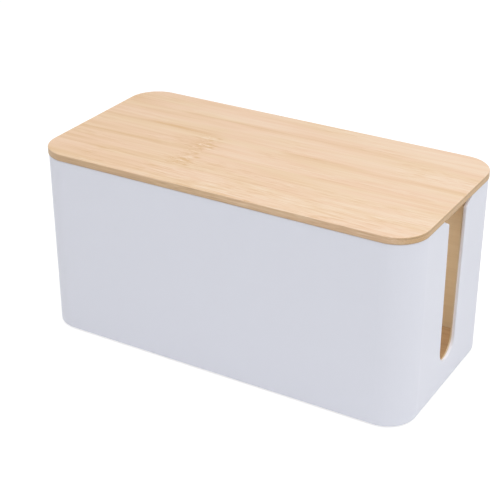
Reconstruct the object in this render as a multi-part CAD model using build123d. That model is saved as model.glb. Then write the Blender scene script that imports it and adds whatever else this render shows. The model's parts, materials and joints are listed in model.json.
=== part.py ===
from build123d import *
import math
import os

# Cable management box: a moulded tub with a cable slot in each end, a wood-look lining,
# a flat bamboo lid that lifts straight off, and four soft feet.
# Millimetres, +Z up. The origin is on the surface that the box stands on, under its middle.
# +X points to the right-hand end, and -Y is the long front.

# ---- driving dimensions ----
box_length = 236.0
box_depth = 115.0
box_height = 115.0

# lid board
lid_thickness = 4.3
lid_corner_radius = 18.5
lid_top_rounding = 0.7
lid_bottom_rounding = 0.4

# tub
lid_overhang = 0.4
wall = 2.0
floor = 2.2
side_draft = 0.4
base_rounding = 1.2
rim_rounding = 0.6

# cable slots, one in each end wall: round below, a little wider towards the top, and opened
# out at the rim by a straight slope on each side
slot_bottom = 17.5
slot_low_width = 20.0
slot_high_width = 23.5
slot_bottom_rounding = 10.0
mouth_reach = 8.0
mouth_drop = 4.6
mouth_rounding = 1.2

# lining
glue_gap = 0.05
liner_thickness = 0.9
liner_below_rim = 0.5
liner_slot_margin = 1.0
liner_seam = 0.3
floor_liner_thickness = 0.9
floor_liner_clearance = 0.2

# battens under the lid
batten_width = 14.0
batten_depth = 4.0
batten_clearance = 0.8
batten_rounding = 0.6

# feet
foot_diameter = 12.0
foot_thickness = 1.8
foot_stand_out = 1.0
foot_rounding = 0.4
foot_recess_clearance = 0.25
foot_inset = 24.0

# moulding gate in the middle of the underside
gate_diameter = 9.0
gate_depth = 0.4
gate_pip_diameter = 2.0
gate_pip_height = 0.25

# ---- derived dimensions ----
rim_z = box_height - lid_thickness
base_z = foot_stand_out
tub_length = box_length - 2 * lid_overhang
tub_depth = box_depth - 2 * lid_overhang
tub_corner = lid_corner_radius - lid_overhang
draft_per_mm = side_draft / (rim_z - base_z)
draft_angle = math.degrees(math.atan(draft_per_mm))
floor_top = base_z + floor
lining_inset = wall + glue_gap
room_inset = lining_inset + liner_thickness
mouth_z = rim_z - mouth_drop

# cutters for the underside start below it, and a point this near a face lies on it
below_base = base_z - 1.0
close_enough = 0.01


def tapered_block(inset, z_low, z_high):
    """A rounded block that follows the tub's drafted sides, inset from its outer face."""
    shrink = inset + (rim_z - z_high) * draft_per_mm
    outline = RectangleRounded(tub_length - 2 * shrink, tub_depth - 2 * shrink, tub_corner - shrink)
    top_face = Pos(0, 0, z_high) * outline
    return extrude(top_face, amount=z_high - z_low, dir=(0, 0, -1), taper=draft_angle)


def straight_block(inset, z_low, z_high):
    """A rounded block with upright sides, inset from the lid's edge."""
    outline = RectangleRounded(box_length - 2 * inset, box_depth - 2 * inset, lid_corner_radius - inset)
    return extrude(Pos(0, 0, z_low) * outline, amount=z_high - z_low)


def wall_inset(point):
    """How far inside the tub's drafted outer face a point lies."""
    shrink = (rim_z - point.Z) * draft_per_mm
    corner = tub_corner - shrink
    along = tub_length / 2 - shrink - abs(point.X)
    across = tub_depth / 2 - shrink - abs(point.Y)
    if along < corner and across < corner:
        return corner - math.hypot(corner - along, corner - across)
    return min(along, across)


def follows_wall(edge, inset):
    """True for an edge that runs along the wall at the given inset."""
    return all(abs(wall_inset(edge @ part) - inset) < close_enough for part in (0.1, 0.5, 0.9))


def slot_cutter(margin):
    """A bar along X whose section is the slot, grown all round by a margin."""
    low_half = slot_low_width / 2
    high_half = slot_high_width / 2
    mouth_half = high_half + mouth_reach
    above_z = rim_z + batten_depth
    right_side = [
        (low_half, slot_bottom),
        (high_half, mouth_z),
        (mouth_half, rim_z),
        (mouth_half, above_z),
    ]
    left_side = [(-across, height) for across, height in reversed(right_side)]
    section = make_face(Polyline(*right_side, *left_side, close=True))
    section = fillet(section.vertices().group_by(Axis.Y)[0], slot_bottom_rounding)
    mouth_corners = [corner for corner in section.vertices() if abs(corner.Y - mouth_z) < close_enough]
    section = fillet(mouth_corners, mouth_rounding)
    if margin > 0:
        section = offset(section, amount=margin)
    return extrude(Plane.YZ * section, amount=box_length / 2, both=True)


def foot_places():
    """Each foot's name and centre."""
    reach_x = box_length / 2 - foot_inset
    reach_y = box_depth / 2 - foot_inset
    return {
        "foot_front_left": (-reach_x, -reach_y),
        "foot_front_right": (reach_x, -reach_y),
        "foot_rear_left": (-reach_x, reach_y),
        "foot_rear_right": (reach_x, reach_y),
    }


def upright_disc(centre, diameter, z_low, z_high):
    """A round disc that stands on z_low."""
    place = Pos(centre[0], centre[1], z_low)
    return extrude(place * Circle(diameter / 2), amount=z_high - z_low)


def make_shell():
    """The tub: drafted walls, a rounded foot edge, two slots, foot recesses and a gate mark."""
    tub = tapered_block(0, base_z, rim_z)
    tub = fillet(tub.edges().group_by(Axis.Z)[0], base_rounding)
    tub -= tapered_block(wall, floor_top, rim_z)
    tub -= slot_cutter(0)
    above_slot_floor = slot_bottom - rim_rounding
    upper = [edge for edge in tub.edges() if edge.center().Z > above_slot_floor]
    outer = [edge for edge in upper if follows_wall(edge, 0)]
    tub = fillet(outer, rim_rounding)
    upper = [edge for edge in tub.edges() if edge.center().Z > above_slot_floor]
    inner = [edge for edge in upper if follows_wall(edge, wall)]
    tub = fillet(inner, rim_rounding)
    recess_diameter = foot_diameter + 2 * foot_recess_clearance
    for centre in foot_places().values():
        tub -= upright_disc(centre, recess_diameter, below_base, foot_thickness)
    tub -= upright_disc((0, 0), gate_diameter, below_base, base_z + gate_depth)
    pip_low = base_z + gate_depth - gate_pip_height
    tub += upright_disc((0, 0), gate_pip_diameter, pip_low, base_z + gate_depth)
    return tub


def make_wall_liner():
    """A strip bent round the inside of the wall, cut back round the slots, closed at the rear."""
    sleeve = tapered_block(lining_inset, floor_top, rim_z - liner_below_rim)
    sleeve -= tapered_block(room_inset, floor_top, rim_z - liner_below_rim)
    sleeve -= slot_cutter(liner_slot_margin)
    sleeve -= Pos(0, box_depth / 2, box_height / 2) * Box(liner_seam, box_depth / 2, box_height)
    return sleeve


def make_floor_liner():
    """A flat sheet on the tub's floor, inside the wall lining."""
    return tapered_block(room_inset + floor_liner_clearance, floor_top, floor_top + floor_liner_thickness)


def make_lid_board():
    """The flat board, with small rounded edges."""
    board = straight_block(0, rim_z, box_height)
    board = fillet(board.edges().group_by(Axis.Z)[-1], lid_top_rounding)
    return fillet(board.edges().group_by(Axis.Z)[0], lid_bottom_rounding)


def make_lid_batten(side):
    """The batten at one end (side -1 left, +1 right): its outer corners follow the room's corners."""
    inset = lid_overhang + room_inset + batten_clearance
    plate = straight_block(inset, rim_z - batten_depth, rim_z)
    middle_x = side * (box_length / 2 - inset - batten_width / 2)
    batten = plate & Pos(middle_x, 0, rim_z) * Box(batten_width, box_depth, 2 * batten_depth)
    return fillet(batten.edges().group_by(Axis.Z)[0], batten_rounding)


def make_foot(centre):
    """A soft pad, glued in its recess and standing a little proud of it."""
    pad = upright_disc(centre, foot_diameter, 0, foot_thickness)
    return fillet(pad.edges().group_by(Axis.Z)[0], foot_rounding)


parts = {
    "box_shell": make_shell(),
    "wall_liner": make_wall_liner(),
    "floor_liner": make_floor_liner(),
    "lid_board": make_lid_board(),
    "lid_batten_left": make_lid_batten(-1),
    "lid_batten_right": make_lid_batten(1),
}
for foot_name, foot_centre in foot_places().items():
    parts[foot_name] = make_foot(foot_centre)

os.makedirs("parts", exist_ok=True)
for part_name, shape in parts.items():
    shape.label = part_name
    export_step(shape, "parts/" + part_name + ".step")
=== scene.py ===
import json
import math

import bmesh
import bpy
from mathutils import Matrix, Vector

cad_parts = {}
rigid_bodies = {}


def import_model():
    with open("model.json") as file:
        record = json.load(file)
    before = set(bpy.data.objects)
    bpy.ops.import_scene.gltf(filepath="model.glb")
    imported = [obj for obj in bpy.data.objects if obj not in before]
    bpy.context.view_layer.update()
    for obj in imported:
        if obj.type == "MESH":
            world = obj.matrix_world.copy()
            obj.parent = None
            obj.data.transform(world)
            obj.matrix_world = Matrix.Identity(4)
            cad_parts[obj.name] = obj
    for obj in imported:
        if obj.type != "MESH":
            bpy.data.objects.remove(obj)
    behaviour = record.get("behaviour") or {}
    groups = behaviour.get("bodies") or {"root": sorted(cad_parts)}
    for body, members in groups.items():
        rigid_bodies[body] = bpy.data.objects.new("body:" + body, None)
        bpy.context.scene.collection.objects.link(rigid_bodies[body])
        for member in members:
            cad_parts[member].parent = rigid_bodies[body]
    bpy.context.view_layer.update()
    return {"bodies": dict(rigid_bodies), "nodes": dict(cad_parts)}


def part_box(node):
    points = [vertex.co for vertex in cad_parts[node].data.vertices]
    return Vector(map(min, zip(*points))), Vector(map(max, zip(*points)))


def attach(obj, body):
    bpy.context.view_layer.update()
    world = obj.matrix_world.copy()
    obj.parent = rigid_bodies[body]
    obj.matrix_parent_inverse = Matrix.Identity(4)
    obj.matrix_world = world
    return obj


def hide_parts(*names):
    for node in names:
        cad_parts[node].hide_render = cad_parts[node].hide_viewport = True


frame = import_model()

# Cable management box: finishes, bamboo lid, soft feet, studio light and camera.
# Metres, +Z up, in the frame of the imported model. -Y is the long front, +X the right-hand end.
# Places and widths inside the materials are in millimetres.

lid_low, lid_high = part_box("lid_board")
feet = ("foot_front_left", "foot_front_right", "foot_rear_left", "foot_rear_right")

MM = 0.001
PER_MM = 1000.0

# where a Mix node keeps its colour sockets
MIX_FIRST_COLOUR = 6
MIX_SECOND_COLOUR = 7
MIX_COLOUR_OUT = 2

# kinds of node socket, and what every shared effect puts out
VECTOR = "NodeSocketVector"
COLOUR = "NodeSocketColor"
NUMBER = "NodeSocketFloat"
EFFECT_OUTPUTS = (("Colour", COLOUR), ("Height", NUMBER), ("Roughness", NUMBER))

# ---- lid board ----
lid_corner = 18.5 * MM
lid_corner_steps = 28
lid_top_round = 0.7 * MM
lid_top_round_steps = 6
lid_bottom_round = 0.4 * MM
lid_bottom_round_steps = 4
lid_flat_margin = 2.0 * MM
# faces whose normals point up or down less than this get the edge's material
edge_facing_limit = 0.75
lid_smooth_angle = 40

# ---- feet ----
foot_steps = 72
foot_round = 0.4 * MM
foot_round_steps = 4
foot_rib_pitch = 0.9 * MM
foot_rib_depth = 0.22 * MM
foot_rib_count = 3
foot_smooth_angle = 50

# ---- picking faces and edges ----
# points this near a height lie at it
same_height = 0.01 * MM
# a face whose normal points up or down by more than this is level
level_facing = 0.999

# ---- colours, as linear values ----
PLASTIC_WHITE = (0.784, 0.798, 0.872)
PLASTIC_SHADE = (0.550, 0.560, 0.620)
BAMBOO_FACE = (0.834, 0.600, 0.388)
BAMBOO_WARM = (0.852, 0.596, 0.410)
BAMBOO_LIGHT = (0.905, 0.712, 0.540)
BAMBOO_DARK = (0.736, 0.474, 0.246)
BAMBOO_EDGE = (0.655, 0.452, 0.268)
BAMBOO_EDGE_WARM = (0.669, 0.445, 0.274)
BAMBOO_EDGE_LIGHT = (0.770, 0.570, 0.380)
BAMBOO_EDGE_DARK = (0.470, 0.305, 0.185)
BAMBOO_END = (0.632, 0.420, 0.222)
BAMBOO_END_DOT = (0.490, 0.311, 0.156)
BAMBOO_BATTEN = (0.780, 0.555, 0.355)
BAMBOO_BATTEN_WARM = (0.795, 0.548, 0.362)
# brown of the glue, also used for the painted shadow line along the bottom of the lid's edge
GLUE_AND_SHADOW_BROWN = (0.400, 0.255, 0.150)
WALL_TAN = (0.655, 0.562, 0.414)
WALL_TAN_DARK = (0.572, 0.467, 0.325)
FLOOR_BROWN = (0.486, 0.341, 0.208)
FLOOR_BROWN_DARK = (0.356, 0.233, 0.132)
FOOT_GREY = (0.640, 0.640, 0.655)
FLOOR_PAPER = (0.880, 0.880, 0.890)
FLOOR_PAPER_SEEN = (0.450, 0.450, 0.450)
WHITE = (1.0, 1.0, 1.0)

# ---- studio ----
# lamps that face the middle of the box: name, place, size, power, colour
LAMPS = (
    ("overhead", (0.70, 0.05, 1.05), (1.0, 0.9), 4.2, WHITE),
    ("above_front", (0.0, -0.62, 1.25), (1.1, 0.9), 5.8, WHITE),
    ("right_side", (1.35, -0.1, 0.55), (1.0, 0.9), 0.9, (0.97, 1.0, 1.0)),
)
lit_middle = (0.0, 0.0, 0.06)
# the lamp that hangs under the lid and lights the inside
under_lid_drop = 14.0 * MM
under_lid_size = (0.15, 0.07)
under_lid_power = 0.132
# how strongly the world lights the box, and how strongly it shows
world_light = 0.51
world_seen = 1.0
floor_size = 12.0
# how strongly the floor glows where it is seen, so that it is white around the box's shadow
floor_glow = 0.72

# ---- camera ----
# the square picture's width and middle, and the focal length, in pixels
picture_width = 500.0
picture_middle = 250.0
focal_pixels = 1298.76
# a point of the box, and where it shows in the picture
target = Vector((0.0, 0.0, 56.0 * MM))
target_across = 263.84
target_down = 248.27
# where the camera stands, seen from that point
view_azimuth = math.radians(30.417)
view_elevation = math.radians(27.425)
view_distance = 0.75785
sensor_width = 36.0
near_clip = 0.01


# ---------------------------------------------------------------- node helpers

def add_node(tree, kind, **settings):
    """A node of that kind, with its settings."""
    node = tree.nodes.new(kind)
    for name, value in settings.items():
        setattr(node, name, value)
    return node


def feed(tree, socket, source):
    """Puts a number, a colour or another node's output into an input socket."""
    if isinstance(source, bpy.types.NodeSocket):
        tree.links.new(source, socket)
    elif isinstance(source, (int, float)):
        socket.default_value = source
    elif len(source) == 3 and len(socket.default_value) == 4:
        socket.default_value = (*source, 1.0)
    else:
        socket.default_value = source


def maths(tree, operation, *values, clamp=False):
    """The result of a Math node."""
    node = add_node(tree, "ShaderNodeMath", operation=operation, use_clamp=clamp)
    for socket, value in zip(node.inputs, values):
        feed(tree, socket, value)
    return node.outputs[0]


def ease(tree, value, low, high, to_low=0.0, to_high=1.0):
    """The value, mapped smoothly from low..high to another span."""
    node = add_node(tree, "ShaderNodeMapRange", interpolation_type="SMOOTHSTEP")
    for name, number in (("Value", value), ("From Min", low), ("From Max", high),
                         ("To Min", to_low), ("To Max", to_high)):
        feed(tree, node.inputs[name], number)
    return node.outputs["Result"]


def blend_colour(tree, amount, first, second):
    """Two colours mixed by an amount."""
    node = add_node(tree, "ShaderNodeMix", data_type="RGBA", blend_type="MIX", clamp_factor=True)
    feed(tree, node.inputs["Factor"], amount)
    feed(tree, node.inputs[MIX_FIRST_COLOUR], first)
    feed(tree, node.inputs[MIX_SECOND_COLOUR], second)
    return node.outputs[MIX_COLOUR_OUT]


def split(tree, point):
    """A point's three coordinates."""
    node = add_node(tree, "ShaderNodeSeparateXYZ")
    feed(tree, node.inputs[0], point)
    return tuple(node.outputs)


def join(tree, *coordinates):
    """A point with these coordinates, and 0 for those that are left out."""
    node = add_node(tree, "ShaderNodeCombineXYZ")
    for socket, coordinate in zip(node.inputs, coordinates):
        feed(tree, socket, coordinate)
    return node.outputs[0]


def turned(tree, point, rotation, shift=(0, 0, 0)):
    """A point turned and shifted, so that the grain runs another way."""
    node = add_node(tree, "ShaderNodeMapping")
    node.inputs["Rotation"].default_value = rotation
    node.inputs["Location"].default_value = shift
    feed(tree, node.inputs["Vector"], point)
    return node.outputs["Vector"]


def stretched(tree, point, along, across, up, shift=0.0):
    """A point in millimetres, with each direction scaled, for a pattern that is longer one way."""
    scaled = add_node(tree, "ShaderNodeVectorMath", operation="MULTIPLY")
    feed(tree, scaled.inputs[0], point)
    feed(tree, scaled.inputs[1], (along, across, up))
    moved = add_node(tree, "ShaderNodeVectorMath", operation="ADD")
    feed(tree, moved.inputs[0], scaled.outputs[0])
    feed(tree, moved.inputs[1], (shift, shift, shift))
    return moved.outputs[0]


def noise(tree, point, detail=2.0, roughness=0.5, distortion=0.0):
    """Soft noise, one blob to a unit of its point."""
    node = add_node(tree, "ShaderNodeTexNoise")
    feed(tree, node.inputs["Vector"], point)
    node.inputs["Scale"].default_value = 1.0
    node.inputs["Detail"].default_value = detail
    node.inputs["Roughness"].default_value = roughness
    node.inputs["Distortion"].default_value = distortion
    return node.outputs["Fac"]


def streaks(tree, point, stretch, **settings):
    """Noise that is stretched: blobs to a millimetre along, across and up, and a shift."""
    return noise(tree, stretched(tree, point, *stretch), **settings)


def new_effect(name, inputs):
    """An empty shader node group with named inputs, for an effect that materials share."""
    group = bpy.data.node_groups.new(name, "ShaderNodeTree")
    for title, kind, value in inputs:
        socket = group.interface.new_socket(name=title, in_out="INPUT", socket_type=kind)
        if value is not None:
            socket.default_value = value
    for title, kind in EFFECT_OUTPUTS:
        group.interface.new_socket(name=title, in_out="OUTPUT", socket_type=kind)
    given = group.nodes.new("NodeGroupInput").outputs
    result = group.nodes.new("NodeGroupOutput").inputs
    return group, given, result


def place_effect(tree, group, **values):
    """A shared effect placed in a material, with its own values."""
    node = add_node(tree, "ShaderNodeGroup", node_tree=group)
    for title, value in values.items():
        feed(tree, node.inputs[title], value)
    return node.outputs


def new_material(name, specular):
    """A material with its Principled shader and the point in millimetres."""
    material = bpy.data.materials.new(name)
    material.use_nodes = True
    tree = material.node_tree
    shader = tree.nodes["Principled BSDF"]
    shader.inputs["Specular IOR Level"].default_value = specular
    place = add_node(tree, "ShaderNodeTexCoord").outputs["Object"]
    millimetres = add_node(tree, "ShaderNodeMapping")
    millimetres.inputs["Scale"].default_value = (PER_MM, PER_MM, PER_MM)
    feed(tree, millimetres.inputs["Vector"], place)
    return material, tree, shader, millimetres.outputs["Vector"]


def finish_from(tree, shader, effect, depth, colour=None, roughness=None):
    """Joins an effect to the shader: its colour and roughness, or those given, and its height as a
    bump where 1 stands out by the depth in metres."""
    feed(tree, shader.inputs["Base Color"], effect["Colour"] if colour is None else colour)
    feed(tree, shader.inputs["Roughness"], effect["Roughness"] if roughness is None else roughness)
    bump = add_node(tree, "ShaderNodeBump")
    bump.inputs["Strength"].default_value = 1.0
    bump.inputs["Distance"].default_value = depth
    feed(tree, bump.inputs["Height"], effect["Height"])
    feed(tree, shader.inputs["Normal"], bump.outputs["Normal"])


# ---------------------------------------------------------------- masks and sums

# most values of a noise lie between these
noise_low = 0.3
noise_high = 0.7


def weighted_sum(tree, *terms):
    """The sum of pairs of a value and its weight."""
    total = 0.0
    for value, weight in terms:
        total = maths(tree, "MULTIPLY_ADD", value, weight, total)
    return total


def both(tree, first, second):
    """The product of two masks."""
    return maths(tree, "MULTIPLY", first, second)


def swing(tree, value):
    """A value from 0..1, moved to swing about zero."""
    return maths(tree, "SUBTRACT", value, 0.5)


def ridge(tree, value, middle, half_width):
    """1 where the value is at the middle, falling smoothly to 0 at the half width."""
    away = maths(tree, "ABSOLUTE", maths(tree, "SUBTRACT", value, middle))
    return ease(tree, away, 0.0, half_width, 1.0, 0.0)


def span(tree, value, low, high, soft):
    """1 between low and high, with soft ends."""
    return both(tree, ease(tree, value, low - soft, low + soft),
                ease(tree, value, high - soft, high + soft, 1.0, 0.0))


def greatest(tree, masks):
    """The greatest of several masks at each point."""
    top = masks[0]
    for mask in masks[1:]:
        top = maths(tree, "MAXIMUM", top, mask)
    return top


def roughness_from(tree, value, dull, smooth):
    """Roughness that follows a noise, from dull where it is low to smooth where it is high."""
    return ease(tree, value, noise_low, noise_high, dull, smooth)


# ---------------------------------------------------------------- bamboo

# strips of bamboo that the board is glued up from, and the hair line between them
strip_width = 23.5
first_joint = -60.7
joint_hair = 0.22
joint_hair_strength = 0.22
# each strip is cut from another place in the pattern: how far apart along and up
strip_apart_along = 400.0
strip_apart_up = 17.0
# picks the set of tints that the strips have
strip_tint_start = 3.0

# soft darker streaks along some joints: place across, from, to, half width, strength
JOINT_SHADES = (
    (33.3, -74.0, 140.0, 3.4, 0.62),
    (10.0, -140.0, -38.0, 3.6, 0.58),
    (7.4, 8.0, 140.0, 5.0, 0.72),
    (-14.2, -140.0, -58.0, 3.2, 0.52),
    (-13.2, 34.0, 140.0, 3.2, 0.45),
    (-37.2, -95.0, 100.0, 3.0, 0.32),
)
joint_shade_fade = 9.0
# they wander across the board: blobs to a millimetre along, and how far
joint_wander_pitch = 0.022
joint_wander_reach = 4.0

# the bamboo's own node crosses two strips as a row of small dark scars with pale flecks between
# them: along, across, size
NODE_SCARS = (
    (-33.8, 7.0, 2.1),
    (-37.2, 3.2, 1.9),
    (-35.0, -1.8, 2.2),
    (-32.0, -6.2, 2.5),
    (-35.4, -10.4, 2.2),
    (-34.4, -17.6, 2.4),
    (-30.8, -22.2, 2.4),
    (-33.0, -28.6, 2.6),
    (-31.2, -34.0, 2.4),
)
NODE_FLECKS = (
    (-35.8, 0.4, 1.8),
    (-34.0, -4.4, 1.7),
    (-32.0, -8.6, 1.9),
    (-37.2, -15.2, 2.1),
    (-34.6, -22.8, 1.9),
    (-37.0, -29.4, 2.1),
)
# each mark is longer along the fibres than across them
mark_length = 1.45
mark_width = 0.70
# the fibres bend and darken beside the node, furthest in the middle strip
node_x = -38.0
node_half_length = 12.0
node_y_low = -36.0
node_y_high = 9.0
node_y_fade = 2.5
node_bend = 6.0
heart_x = -43.0
heart_y = -4.0
heart_half_length = 26.0
heart_half_width = 17.0

# where short light and dark flecks show most: from, to along, and from, to across
FLECK_PATCHES = (
    (-8.0, 9.0, -2.0, 8.0),
    (-55.0, 130.0, -60.0, -24.0),
    (72.0, 130.0, 12.0, 30.0),
)
patch_fade_along = 7.0
patch_fade_across = 3.0

# painted light: the board is darker at its left-hand end and paler towards the right, where light and
# sheen fall
board_end = 118.0
painted_light_at_left_end = -0.20
painted_light_at_right_end = 0.36

# the parts of the grain, each as blobs to a millimetre along, across and up, and a shift that
# keeps it apart from the others
BROAD = (0.012, 0.10, 0.10, 1.0)
BANDS = (0.016, 0.38, 0.38, 5.0)
FIBRES = (0.026, 1.7, 1.7, 7.0)
BENDS = (0.22, 0.5, 0.5, 9.0)
DASHES = (0.10, 1.5, 1.5, 11.0)
FIELDS = (0.030, 0.07, 0.07, 13.0)
HUES = (0.014, 0.06, 0.06, 23.0)

# spans of those noises: from, to, and the values that they are mapped to where these aren't 0 and 1
LIGHT_DASH = (0.54, 0.68)
DARK_DASH = (0.46, 0.32)
MARK_RAGGED = (0.25, 0.55, 0.35, 1.0)
FIELD_IN_PATCH = (0.30, 0.55, 0.45, 1.0)
FIELD_ELSEWHERE = (0.48, 0.70, 0.0, 0.7)
WARM_HUE = (0.36, 0.62)

# how far each part lightens the wood, or darkens it below 0
TONES = {
    "broad": 1.5,
    "bands": 1.1,
    "fibres": 1.4,
    "painted light": 1.0,
    "strip": 0.16,
    "flecks": 0.70,
    "joints": -1.0,
    "beside the node": -0.25,
    "heart": -0.35,
    "flecks beside the node": 0.8,
    "scars": -1.1,
    "pale marks": 0.55,
}
# how far each part stands out of the surface, or lies in it below 0
fibre_relief = 0.6
band_relief = 0.3
joint_relief = -0.5
scar_relief = -0.4
# roughness where the bands' noise is low, and where it is high
BAMBOO_ROUGHNESS = (0.46, 0.38)


def joint_shade(tree, x, y):
    """The soft streaks along the joints, which wander a little across the board."""
    way = noise(tree, join(tree, maths(tree, "MULTIPLY", x, joint_wander_pitch)), detail=1.0)
    drift = maths(tree, "MULTIPLY_ADD", swing(tree, way), joint_wander_reach, y)
    shades = []
    for across, start, end, half_width, strength in JOINT_SHADES:
        shade = both(tree, ridge(tree, drift, across, half_width),
                     span(tree, x, start, end, joint_shade_fade))
        shades.append(maths(tree, "MULTIPLY", shade, strength))
    return greatest(tree, shades)


def short_marks(tree, x, y, places, dashes):
    """A group of short soft marks, with ragged edges."""
    marks = [both(tree, ridge(tree, x, along, size * mark_length),
                  ridge(tree, y, across, size * mark_width))
             for along, across, size in places]
    return both(tree, greatest(tree, marks), ease(tree, dashes, *MARK_RAGGED))


def fleck_room(tree, x, y, fields):
    """Where the flecks may show: named patches, and weakly wherever the field noise is high."""
    patches = [both(tree, span(tree, x, start, end, patch_fade_along),
                    span(tree, y, low, high, patch_fade_across))
               for start, end, low, high in FLECK_PATCHES]
    room = both(tree, greatest(tree, patches), ease(tree, fields, *FIELD_IN_PATCH))
    return maths(tree, "MAXIMUM", room, ease(tree, fields, *FIELD_ELSEWHERE))


def make_bamboo_grain():
    """Long fibres along X in glued strips, with soft streaks, short flecks and one node."""
    tree, given, result = new_effect("bamboo grain", (
        ("Point", VECTOR, None), ("Colour", COLOUR, None), ("Warm", COLOUR, None),
        ("Light", COLOUR, None), ("Dark", COLOUR, None), ("Contrast", NUMBER, 1.0),
        ("Joints", NUMBER, 1.0)))
    point = given["Point"]
    x, y, z = split(tree, point)

    # which strip, and how far from its nearest joint
    steps = maths(tree, "DIVIDE", maths(tree, "SUBTRACT", y, first_joint), strip_width)
    strip = maths(tree, "FLOOR", steps)
    from_joint = maths(tree, "MULTIPLY", maths(tree, "PINGPONG", steps, 0.5), strip_width)
    hair = ease(tree, from_joint, 0.0, joint_hair, 1.0, 0.0)
    lot = add_node(tree, "ShaderNodeTexWhiteNoise", noise_dimensions="1D")
    feed(tree, lot.inputs["W"], maths(tree, "ADD", strip, strip_tint_start))
    strip_tint = lot.outputs["Value"]

    # the fibres bend beside the node, and each strip has its own run of them
    beside = both(tree, ridge(tree, x, node_x, node_half_length),
                  span(tree, y, node_y_low, node_y_high, node_y_fade))
    bend = both(tree, swing(tree, streaks(tree, point, BENDS)), beside)
    run = join(tree, maths(tree, "MULTIPLY_ADD", strip_tint, strip_apart_along, x),
               maths(tree, "MULTIPLY_ADD", bend, node_bend, y),
               maths(tree, "MULTIPLY_ADD", strip, strip_apart_up, z))

    broad = streaks(tree, run, BROAD)
    bands = streaks(tree, run, BANDS)
    fibres = streaks(tree, run, FIBRES, detail=3.0, roughness=0.6)
    dashes = streaks(tree, run, DASHES, detail=1.0)
    fields = streaks(tree, point, FIELDS, detail=1.0)

    # light and dark, from -1 to 1
    scars = short_marks(tree, x, y, NODE_SCARS, dashes)
    flecks = maths(tree, "SUBTRACT", ease(tree, dashes, *LIGHT_DASH), ease(tree, dashes, *DARK_DASH))
    shade = maths(tree, "MAXIMUM", joint_shade(tree, x, y),
                  maths(tree, "MULTIPLY", hair, joint_hair_strength))
    parts = {
        "broad": swing(tree, broad),
        "bands": swing(tree, bands),
        "fibres": swing(tree, fibres),
        # painted light: paler towards the right-hand end, where the light and sheen fall
        "painted light": ease(tree, x, -board_end, board_end, painted_light_at_left_end, painted_light_at_right_end),
        "strip": swing(tree, strip_tint),
        "flecks": both(tree, flecks, fleck_room(tree, x, y, fields)),
        "joints": both(tree, shade, given["Joints"]),
        "beside the node": beside,
        "heart": both(tree, ridge(tree, x, heart_x, heart_half_length),
                      ridge(tree, y, heart_y, heart_half_width)),
        "flecks beside the node": both(tree, flecks, beside),
        "scars": scars,
        "pale marks": short_marks(tree, x, y, NODE_FLECKS, dashes),
    }
    tone = weighted_sum(tree, *((parts[name], weight) for name, weight in TONES.items()))
    tone = maths(tree, "MULTIPLY", tone, given["Contrast"])

    hue = ease(tree, streaks(tree, run, HUES), *WARM_HUE)
    base = blend_colour(tree, hue, given["Colour"], given["Warm"])
    lighter = blend_colour(tree, maths(tree, "MAXIMUM", tone, 0.0), base, given["Light"])
    below = maths(tree, "MAXIMUM", maths(tree, "MULTIPLY", tone, -1.0), 0.0)
    feed(tree, result["Colour"], blend_colour(tree, below, lighter, given["Dark"]))
    relief = weighted_sum(tree, (fibres, fibre_relief), (bands, band_relief), (hair, joint_relief),
                          (scars, scar_relief))
    feed(tree, result["Height"], relief)
    feed(tree, result["Roughness"], roughness_from(tree, bands, *BAMBOO_ROUGHNESS))
    return tree


# ---------------------------------------------------------------- moulded plastic and rubber

# how far the grain's cells blend into each other
cell_blend = 0.6
# the slow unevenness, as blobs to a millimetre along, across and up, and a shift
SLOW = (0.012, 0.012, 0.012, 3.0)
# how far cells and specks stand out, and how far the slow noise and the specks darken the colour
cell_relief = 0.7
speck_relief = 0.3
slow_shade = 0.030
speck_shade = 0.012
# roughness where the slow noise is low, and where it is high
SKIN_ROUGHNESS = (0.50, 0.44)


def make_moulded_skin():
    """The fine even grain of a textured mould, with a slight slow unevenness."""
    tree, given, result = new_effect("moulded skin", (
        ("Point", VECTOR, None), ("Colour", COLOUR, None), ("Grain", NUMBER, 1.0)))
    scaled = add_node(tree, "ShaderNodeVectorMath", operation="SCALE")
    feed(tree, scaled.inputs[0], given["Point"])
    feed(tree, scaled.inputs["Scale"], given["Grain"])
    cells = add_node(tree, "ShaderNodeTexVoronoi", feature="SMOOTH_F1")
    feed(tree, cells.inputs["Vector"], scaled.outputs[0])
    cells.inputs["Scale"].default_value = 1.0
    cells.inputs["Smoothness"].default_value = cell_blend
    speck = noise(tree, scaled.outputs[0])
    slow = streaks(tree, given["Point"], SLOW)
    relief = weighted_sum(tree, (cells.outputs["Distance"], cell_relief), (speck, speck_relief))
    shade = weighted_sum(tree, (slow, slow_shade), (speck, speck_shade))
    feed(tree, result["Colour"], blend_colour(tree, shade, given["Colour"], PLASTIC_SHADE))
    feed(tree, result["Height"], relief)
    feed(tree, result["Roughness"], roughness_from(tree, slow, *SKIN_ROUGHNESS))
    return tree


# ---------------------------------------------------------------- wood-look lining

# the parts of its grain, as blobs to a millimetre along, across and up, and a shift
LINING_BANDS = (0.012, 0.012, 0.30, 2.0)
LINING_LINES = (0.035, 0.035, 2.2, 4.0)
LINING_PORES = (0.25, 0.25, 5.0, 6.0)
# from where to where each noise darkens the lining, and how far
BAND_SPAN = (0.35, 0.65)
LINE_SPAN = (0.4, 0.7)
PORE_SPAN = (0.66, 0.78)
band_darkens = 0.45
line_darkens = 0.35
pore_darkens = 0.3
# how far they stand out of the surface, or lie in it below 0
line_relief = 0.4
pore_relief = -0.6
# roughness where the lines' noise is low, and where it is high
LINING_ROUGHNESS = (0.62, 0.54)


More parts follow.
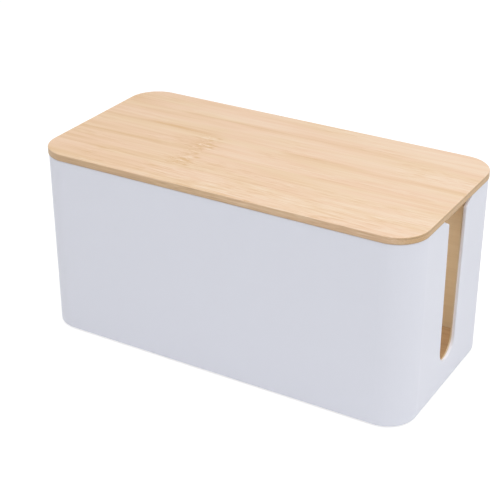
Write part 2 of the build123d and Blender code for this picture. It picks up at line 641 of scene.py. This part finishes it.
def make_lining_grain():
    """The grain of a thin wood-look lining: soft bands and pores along its length."""
    tree, given, result = new_effect("lining grain", (
        ("Point", VECTOR, None), ("Colour", COLOUR, None), ("Dark", COLOUR, None),
        ("Contrast", NUMBER, 1.0)))
    bands = streaks(tree, given["Point"], LINING_BANDS, detail=3.0, distortion=0.4)
    lines = streaks(tree, given["Point"], LINING_LINES, detail=3.0, roughness=0.6)
    pores = ease(tree, streaks(tree, given["Point"], LINING_PORES, detail=1.0), *PORE_SPAN)
    dark = weighted_sum(tree, (ease(tree, bands, *BAND_SPAN), band_darkens),
                        (ease(tree, lines, *LINE_SPAN), line_darkens), (pores, pore_darkens))
    dark = maths(tree, "MULTIPLY", dark, given["Contrast"])
    feed(tree, result["Colour"], blend_colour(tree, dark, given["Colour"], given["Dark"]))
    feed(tree, result["Height"], weighted_sum(tree, (lines, line_relief), (pores, pore_relief)))
    feed(tree, result["Roughness"], roughness_from(tree, lines, *LINING_ROUGHNESS))
    return tree


bamboo_grain = make_bamboo_grain()
moulded_skin = make_moulded_skin()
lining_grain = make_lining_grain()


# ---------------------------------------------------------------- materials

# how far the grain of each finish stands out
skin_depth = 0.012 * MM
lacquer_depth = 0.05 * MM
sawn_depth = 0.06 * MM
lining_depth = 0.03 * MM
rubber_depth = 0.02 * MM
# grains to a millimetre
skin_grain = 2.6
rubber_grain = 4.0
rubber_roughness = 0.66

# glue lines round the lid's edge, the last one partly glue and partly painted shadow where the lid
# meets the shell:
# depth below the top, half width, strength along the sides and strength where the fibres are cut across
PLY_AND_SHADOW_LINES = ((1.20, 0.60, 0.15, 0.62), (2.75, 0.20, 0.10, 0.10), (4.00, 0.60, 0.60, 0.60))
# painted highlight: the rounded top edge is painted pale between these depths below the top, where it
# would catch the light
painted_highlight_from = 0.50
painted_highlight_to = 0.12
# the edge turns into end grain between these distances from the middle of the board
end_grain_from = 104.0
end_grain_to = 116.0
# the fibres' ends are dots: how many to a millimetre across and along, and from where to where
# each one darkens
end_dots_across = 1.5
end_dots_along = 0.2
END_DOT_SPAN = (0.42, 0.16)
# a film of glue shows where a batten meets the board: height over its underside, half width
batten_glue_height = 4.0
batten_glue_width = 0.5
batten_glue_strength = 0.6
# slides the battens' grain along, away from the board's node
batten_pattern_shift = 60.0
quarter_turn = math.pi / 2


def make_white_plastic():
    """Cool white plastic from a finely textured mould."""
    material, tree, shader, point = new_material("white_plastic_moulded", specular=0.45)
    effect = place_effect(tree, moulded_skin, Point=point, Colour=PLASTIC_WHITE, Grain=skin_grain)
    finish_from(tree, shader, effect, skin_depth)
    return material


def make_bamboo_face():
    """The lid's faces: pale strips with a satin lacquer."""
    material, tree, shader, point = new_material("bamboo_face", specular=0.4)
    effect = place_effect(tree, bamboo_grain, Point=point, Colour=BAMBOO_FACE, Warm=BAMBOO_WARM,
                          Light=BAMBOO_LIGHT, Dark=BAMBOO_DARK, Contrast=1.0, Joints=1.0)
    finish_from(tree, shader, effect, lacquer_depth)
    return material


def cut_ends(tree, point, cut_across, colour):
    """Darkens the board where its fibres are cut across, and dots it with their ends."""
    dots = add_node(tree, "ShaderNodeTexVoronoi", feature="F1")
    feed(tree, dots.inputs["Vector"],
         stretched(tree, point, end_dots_along, end_dots_across, end_dots_across))
    dots.inputs["Scale"].default_value = 1.0
    dotted = ease(tree, dots.outputs["Distance"], *END_DOT_SPAN)
    end_colour = blend_colour(tree, dotted, BAMBOO_END, BAMBOO_END_DOT)
    return blend_colour(tree, cut_across, colour, end_colour)


def make_bamboo_edge():
    """The lid's edges: darker sawn bamboo, glue lines between plies, painted highlight on top, painted
    shadow below.
    """
    material, tree, shader, point = new_material("bamboo_edge", specular=0.35)
    effect = place_effect(tree, bamboo_grain, Point=point, Colour=BAMBOO_EDGE, Warm=BAMBOO_EDGE_WARM,
                          Light=BAMBOO_EDGE_LIGHT, Dark=BAMBOO_EDGE_DARK, Contrast=0.8, Joints=0.4)
    x, _, height = split(tree, point)
    top = lid_high.z * PER_MM
    cut_across = ease(tree, maths(tree, "ABSOLUTE", x), end_grain_from, end_grain_to)
    colour = cut_ends(tree, point, cut_across, effect["Colour"])
    # the last of these lines is partly painted shadow where the lid meets the shell
    for below_top, half_width, at_sides, at_ends in PLY_AND_SHADOW_LINES:
        line = ridge(tree, height, top - below_top, half_width)
        strength = ease(tree, cut_across, 0.0, 1.0, at_sides, at_ends)
        colour = blend_colour(tree, both(tree, line, strength), colour, GLUE_AND_SHADOW_BROWN)
    # painted highlight along the rounded top edge
    pale = ease(tree, height, top - painted_highlight_from, top - painted_highlight_to)
    colour = blend_colour(tree, pale, colour, BAMBOO_LIGHT)
    finish_from(tree, shader, effect, sawn_depth, colour)
    return material


def make_bamboo_batten():
    """The battens: one plain piece each, with its fibres across the board, and a film of glue above."""
    material, tree, shader, point = new_material("bamboo_batten", specular=0.35)
    across_board = turned(tree, point, (0, 0, quarter_turn), (batten_pattern_shift, 0, 0))
    effect = place_effect(tree, bamboo_grain, Point=across_board, Colour=BAMBOO_BATTEN,
                          Warm=BAMBOO_BATTEN_WARM, Light=BAMBOO_LIGHT, Dark=BAMBOO_DARK,
                          Contrast=0.9, Joints=0.0)
    height = split(tree, point)[-1]
    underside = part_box("lid_batten_left")[0].z * PER_MM
    glue = ridge(tree, height, underside + batten_glue_height, batten_glue_width)
    glue = maths(tree, "MULTIPLY", glue, batten_glue_strength)
    colour = blend_colour(tree, glue, effect["Colour"], GLUE_AND_SHADOW_BROWN)
    finish_from(tree, shader, effect, sawn_depth, colour)
    return material


def make_lining(name, colour, dark, contrast, lies_flat=False):
    """A thin matte wood-look lining, whose grain runs along the box."""
    material, tree, shader, point = new_material(name, specular=0.3)
    if lies_flat:
        point = turned(tree, point, (quarter_turn, 0, 0))
    effect = place_effect(tree, lining_grain, Point=point, Colour=colour, Dark=dark,
                          Contrast=contrast)
    finish_from(tree, shader, effect, lining_depth)
    return material


def make_foot_rubber():
    """Soft pale rubber with a fine grain, evenly dull."""
    material, tree, shader, point = new_material("foot_rubber_soft", specular=0.4)
    effect = place_effect(tree, moulded_skin, Point=point, Colour=FOOT_GREY, Grain=rubber_grain)
    finish_from(tree, shader, effect, rubber_depth, roughness=rubber_roughness)
    return material


# ---------------------------------------------------------------- modelling helpers

def start_piece(name, add_primitive, **settings):
    """Adds a primitive at its place, names it, and puts its place in its mesh."""
    bpy.ops.object.select_all(action="DESELECT")
    add_primitive(**settings)
    piece = bpy.context.object
    piece.name = piece.data.name = name
    bpy.ops.object.transform_apply(location=True, rotation=True, scale=True)
    return piece


def edit_mode():
    """Starts editing the active piece's mesh."""
    bpy.ops.object.mode_set(mode="EDIT")


def object_mode():
    """Ends the editing."""
    bpy.ops.object.mode_set(mode="OBJECT")


def pick(piece, kind, test):
    """In edit mode, selects only the elements of a kind, FACE or EDGE, that pass a test."""
    bpy.ops.mesh.select_mode(type=kind)
    mesh = bmesh.from_edit_mesh(piece.data)
    bpy.ops.mesh.select_all(action="DESELECT")
    for element in mesh.faces if kind == "FACE" else mesh.edges:
        if test(element):
            element.select_set(True)
    mesh.select_flush_mode()
    bmesh.update_edit_mesh(piece.data)


def at_height(height):
    """A test for edges that lie at one height."""
    return lambda edge: all(abs(vertex.co.z - height) < same_height for vertex in edge.verts)


def upright(edge):
    """True for an edge that isn't level."""
    return abs(edge.verts[0].co.z - edge.verts[1].co.z) > MM


def round_edges(width, steps):
    """Rounds the selected edges."""
    bpy.ops.mesh.bevel(offset=width, segments=steps, profile=0.5, affect="EDGES")


def inset_faces(width, rise=0.0):
    """Insets the selected faces, and lifts them by the rise."""
    bpy.ops.mesh.inset(thickness=width, depth=rise)


def finish_mesh(piece, angle):
    """Smooth shading up to an angle, with flat faces that stay flat."""
    bpy.ops.object.select_all(action="DESELECT")
    piece.select_set(True)
    bpy.context.view_layer.objects.active = piece
    bpy.ops.object.shade_smooth_by_angle(angle=math.radians(angle))
    weighted = piece.modifiers.new("flat faces", "WEIGHTED_NORMAL")
    weighted.keep_sharp = True
    bpy.ops.object.modifier_apply(modifier=weighted.name)


# ---------------------------------------------------------------- the lid

def model_lid_board():
    """The board: rounded upright corners, a small round along the top edge and a smaller one below."""
    board = start_piece("lid_board_bamboo", bpy.ops.mesh.primitive_cube_add, size=1.0,
                        location=(lid_low + lid_high) / 2, scale=lid_high - lid_low)
    edit_mode()
    pick(board, "EDGE", upright)
    round_edges(lid_corner, lid_corner_steps)
    pick(board, "EDGE", at_height(lid_high.z))
    round_edges(lid_top_round, lid_top_round_steps)
    pick(board, "EDGE", at_height(lid_low.z))
    round_edges(lid_bottom_round, lid_bottom_round_steps)
    pick(board, "FACE", lambda face: abs(face.normal.z) > level_facing)
    inset_faces(lid_flat_margin)
    object_mode()
    board.data.materials.append(bamboo_face)
    board.data.materials.append(bamboo_edge)
    edit_mode()
    pick(board, "FACE", lambda face: abs(face.normal.z) < edge_facing_limit)
    board.active_material_index = 1
    bpy.ops.object.material_slot_assign()
    object_mode()
    finish_mesh(board, lid_smooth_angle)
    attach(board, "lid")
    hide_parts("lid_board")


# ---------------------------------------------------------------- the feet

def model_foot(node):
    """A round pad with a rounded rim and ring ribs in its underside."""
    low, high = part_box(node)
    foot = start_piece(node + "_pad", bpy.ops.mesh.primitive_cylinder_add, vertices=foot_steps,
                       radius=(high.x - low.x) / 2, depth=high.z - low.z, location=(low + high) / 2)
    edit_mode()
    pick(foot, "EDGE", at_height(low.z))
    round_edges(foot_round, foot_round_steps)
    pick(foot, "FACE", lambda face: face.normal.z < -level_facing)
    for rib in range(foot_rib_count):
        inset_faces(foot_rib_pitch)
        inset_faces(foot_rib_depth, -foot_rib_depth)
        inset_faces(foot_rib_pitch / 2)
        inset_faces(foot_rib_depth, foot_rib_depth)
    object_mode()
    foot.data.materials.append(foot_rubber)
    finish_mesh(foot, foot_smooth_angle)
    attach(foot, "box")
    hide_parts(node)


# ---------------------------------------------------------------- studio

def add_camera():
    """The camera, looking down at the long front from the right."""
    level = math.cos(view_elevation)
    back = Vector((math.sin(view_azimuth) * level, -math.cos(view_azimuth) * level,
                   math.sin(view_elevation)))
    right = (-back).cross(Vector((0, 0, 1))).normalized()
    up = back.cross(right)
    aside = (target_across - picture_middle) / focal_pixels * view_distance
    above = -(target_down - picture_middle) / focal_pixels * view_distance
    place = target + back * view_distance - right * aside - up * above
    camera_data = bpy.data.cameras.new("camera")
    camera_data.sensor_width = sensor_width
    camera_data.lens = focal_pixels / picture_width * sensor_width
    camera_data.clip_start = near_clip
    camera = bpy.data.objects.new("camera", camera_data)
    bpy.context.scene.collection.objects.link(camera)
    facing = Matrix((right, up, back)).transposed().to_4x4()
    camera.matrix_world = Matrix.Translation(place) @ facing
    bpy.context.scene.camera = camera


def add_lamp(name, place, aim, size, power, colour):
    """A soft rectangular lamp that faces a point."""
    lamp_data = bpy.data.lights.new(name, "AREA")
    lamp_data.shape = "RECTANGLE"
    lamp_data.size, lamp_data.size_y = size
    lamp_data.energy = power
    lamp_data.color = colour
    lamp = bpy.data.objects.new(name, lamp_data)
    bpy.context.scene.collection.objects.link(lamp)
    lamp.location = place
    lamp.rotation_euler = (Vector(place) - Vector(aim)).to_track_quat("Z", "Y").to_euler()
    lamp.visible_camera = False
    return lamp


def add_lamps():
    """Broad lamps overhead, above the front and at the right-hand end, and one under the lid."""
    for name, place, size, power, colour in LAMPS:
        add_lamp(name, place, lit_middle, size, power, colour)
    inside = add_lamp("under_lid", (0, 0, lid_low.z - under_lid_drop), (0, 0, 0), under_lid_size,
                      under_lid_power, WHITE)
    inside.parent = frame["bodies"]["lid"]
    inside.visible_glossy = False


def seen_directly(tree):
    """1 for rays that reach a surface from the camera, by reflection or through glass."""
    path = add_node(tree, "ShaderNodeLightPath")
    seen = maths(tree, "ADD", path.outputs["Is Camera Ray"], path.outputs["Is Glossy Ray"])
    return maths(tree, "ADD", seen, path.outputs["Is Transmission Ray"], clamp=True)


def add_world():
    """An even pale world that is plain white where it is seen."""
    world = bpy.data.worlds.new("studio")
    world.use_nodes = True
    bpy.context.scene.world = world
    tree = world.node_tree
    background = tree.nodes["Background"]
    feed(tree, background.inputs["Color"], WHITE)
    strength = ease(tree, seen_directly(tree), 0.0, 1.0, world_light, world_seen)
    feed(tree, background.inputs["Strength"], strength)


def add_floor():
    """A wide pale floor: white where it is seen, and darker only where the box shades it."""
    floor = start_piece("floor", bpy.ops.mesh.primitive_plane_add, size=floor_size,
                        location=(0, 0, 0))
    material = bpy.data.materials.new("floor_paper")
    material.use_nodes = True
    tree = material.node_tree
    tree.nodes.remove(tree.nodes["Principled BSDF"])
    seen = seen_directly(tree)
    paper = add_node(tree, "ShaderNodeBsdfDiffuse")
    feed(tree, paper.inputs["Color"], blend_colour(tree, seen, FLOOR_PAPER, FLOOR_PAPER_SEEN))
    glow = add_node(tree, "ShaderNodeEmission")
    feed(tree, glow.inputs["Strength"], maths(tree, "MULTIPLY", seen, floor_glow))
    together = add_node(tree, "ShaderNodeAddShader")
    feed(tree, together.inputs[0], paper.outputs[0])
    feed(tree, together.inputs[1], glow.outputs[0])
    feed(tree, tree.nodes["Material Output"].inputs["Surface"], together.outputs[0])
    floor.data.materials.append(material)


# ---------------------------------------------------------------- putting it together

white_plastic = make_white_plastic()
bamboo_face = make_bamboo_face()
bamboo_edge = make_bamboo_edge()
bamboo_batten = make_bamboo_batten()
wall_lining = make_lining("wall_lining_tan", WALL_TAN, WALL_TAN_DARK, contrast=0.6)
floor_lining = make_lining("floor_lining_brown", FLOOR_BROWN, FLOOR_BROWN_DARK, contrast=1.0,
                           lies_flat=True)
foot_rubber = make_foot_rubber()

node_finishes = {
    "box_shell": white_plastic,
    "wall_liner": wall_lining,
    "floor_liner": floor_lining,
    "lid_batten_left": bamboo_batten,
    "lid_batten_right": bamboo_batten,
}
for node, finish in node_finishes.items():
    frame["nodes"][node].material_slots[0].material = finish

model_lid_board()
for foot_node in feet:
    model_foot(foot_node)

add_world()
add_floor()
add_lamps()
add_camera()
bpy.context.scene.view_settings.view_transform = "Standard"
